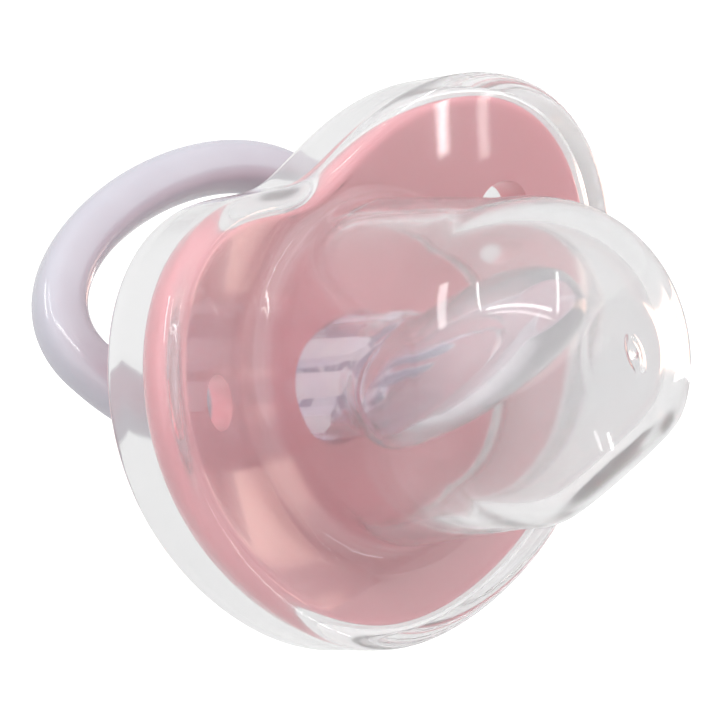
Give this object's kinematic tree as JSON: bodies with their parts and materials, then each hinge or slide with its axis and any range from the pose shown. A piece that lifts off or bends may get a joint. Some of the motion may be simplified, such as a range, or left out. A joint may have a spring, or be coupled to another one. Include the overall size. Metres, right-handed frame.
{
  "type": "pacifier",
  "caption": "Infant pacifier: bean-shaped shield, clear orthodontic nipple, hinged ring handle and a clear lift-off protective cap.",
  "frame": {"origin": "centre of the flat back face of the knob, on the nipple's axis", "axes": "+X from wing to wing of the shield, +Z towards the nose notch, +Y backwards along the nipple's axis, so the nipple and the cap's dome point along -Y"},
  "size_m": [0.049, 0.0456, 0.0382],
  "materials": {
    "clear_cap": "clear gloss",
    "pink_shield": "gloss",
    "clear_silicone": "clear, polished",
    "white_core": "gloss",
    "lavender_plastic": "gloss"
  },
  "bodies": {
    "shield_unit": {"shield": "pink_shield", "nipple": "clear_silicone", "fluted_core": "white_core", "knob": "lavender_plastic", "knob_cover": "lavender_plastic"},
    "cap": {"protective_cap": "clear_cap"},
    "ring": {"ring_handle": "lavender_plastic"}
  },
  "joints": [
    {"name": "cap_pull", "type": "slide", "parent": "shield_unit", "child": "cap", "axis": [0, -1, 0], "range_m": [0, 0.05]},
    {"name": "ring_swing", "type": "hinge", "parent": "shield_unit", "child": "ring", "pos_m": [0, -0.00335, 0], "axis": [1, 0, 0], "range_deg": [-151, 25]}
  ]
}
